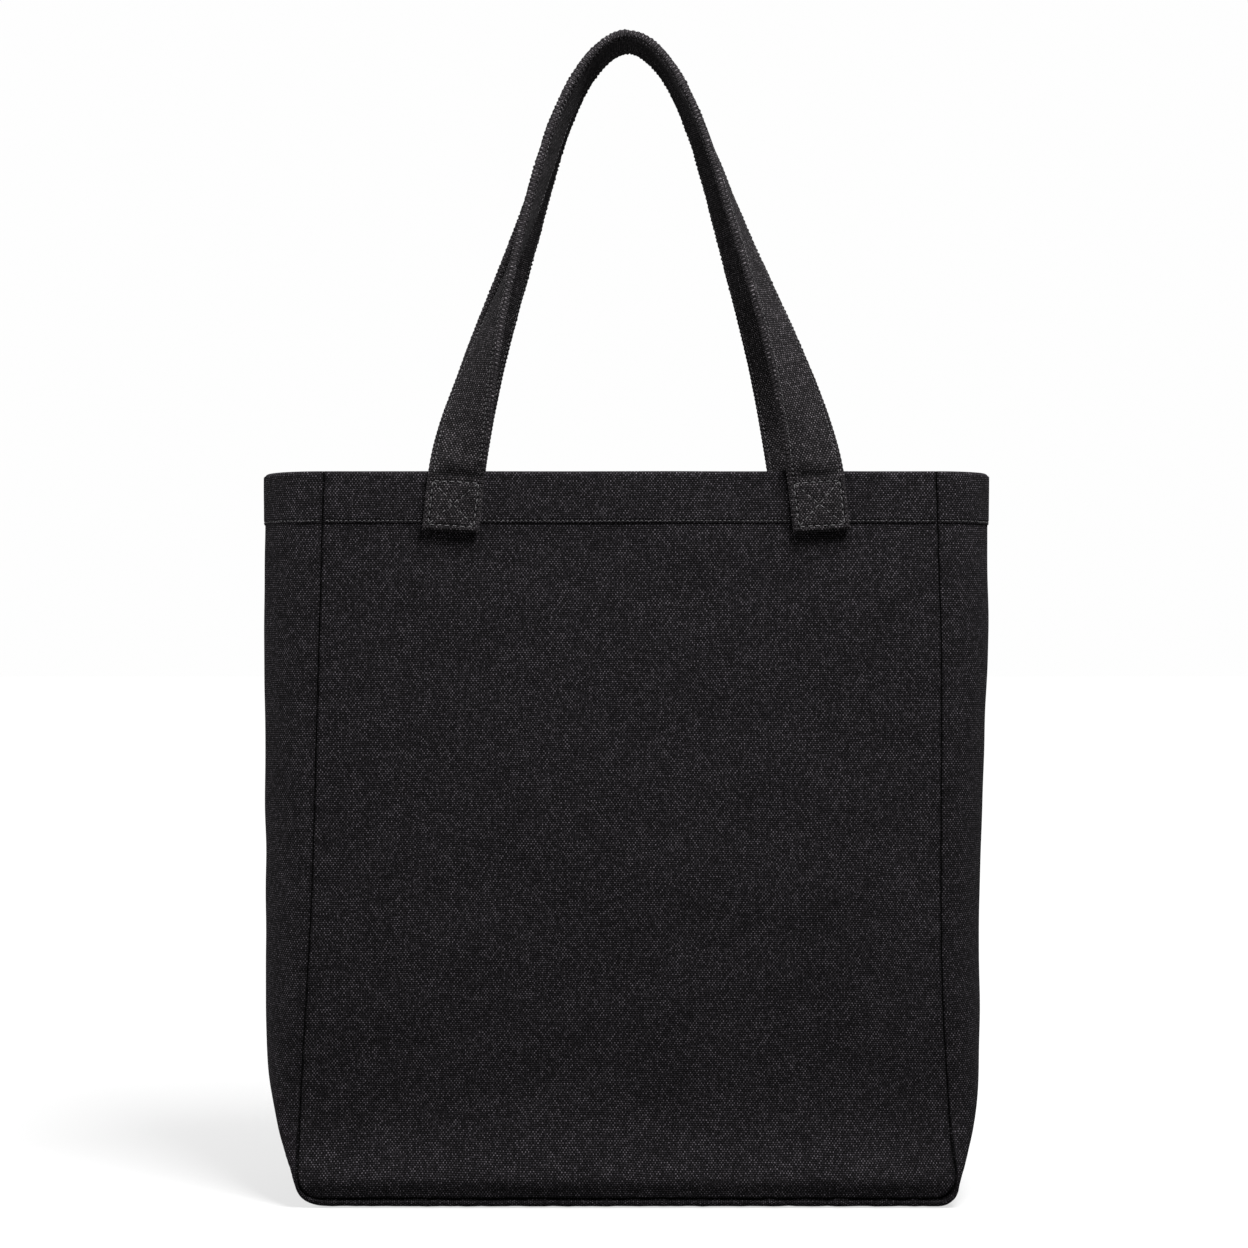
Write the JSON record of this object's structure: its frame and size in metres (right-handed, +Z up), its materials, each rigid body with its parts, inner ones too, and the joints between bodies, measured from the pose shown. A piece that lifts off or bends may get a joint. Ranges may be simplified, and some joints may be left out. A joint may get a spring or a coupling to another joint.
{
  "type": "canvas tote bag",
  "caption": "Open-topped canvas tote bag with side gussets, a turned hem and carrying handles that fold down outside the mouth.",
  "frame": {"origin": "on the floor under the middle of the bag", "axes": "+Z up, -Y out of the front panel, +X to the right when the front panel is looked at"},
  "size_m": [0.4174, 0.1142, 0.6632],
  "materials": {
    "canvas": "matte plain-weave cotton canvas, black",
    "strap": "matte folded canvas strap, black",
    "binding": "matte twill tape, black",
    "thread": "slightly glossy sewing thread, charcoal"
  },
  "bodies": {
    "bag": {"front_panel": "canvas", "back_panel": "canvas", "gusset_left": "canvas", "gusset_right": "canvas", "base_panel": "canvas", "seam_binding_front": "binding", "seam_binding_back": "binding", "hem_stitch": "thread", "front_handle_end_left": "strap", "front_handle_end_right": "strap", "back_handle_end_left": "strap", "back_handle_end_right": "strap", "front_box_stitch_left": "thread", "front_box_stitch_right": "thread", "back_box_stitch_left": "thread", "back_box_stitch_right": "thread"},
    "front_handle": {"front_handle_strap": "strap", "front_strap_stitch_inner": "thread", "front_strap_stitch_outer": "thread"},
    "back_handle": {"back_handle_strap": "strap", "back_strap_stitch_inner": "thread", "back_strap_stitch_outer": "thread"}
  },
  "joints": [
    {"name": "front_handle_swing", "type": "hinge", "parent": "bag", "child": "front_handle", "pos_m": [0, -0.0495, 0.408], "axis": [1, 0, 0], "range_deg": [0, 170]},
    {"name": "back_handle_swing", "type": "hinge", "parent": "bag", "child": "back_handle", "pos_m": [0, 0.0495, 0.408], "axis": [-1, 0, 0], "range_deg": [0, 170]}
  ]
}
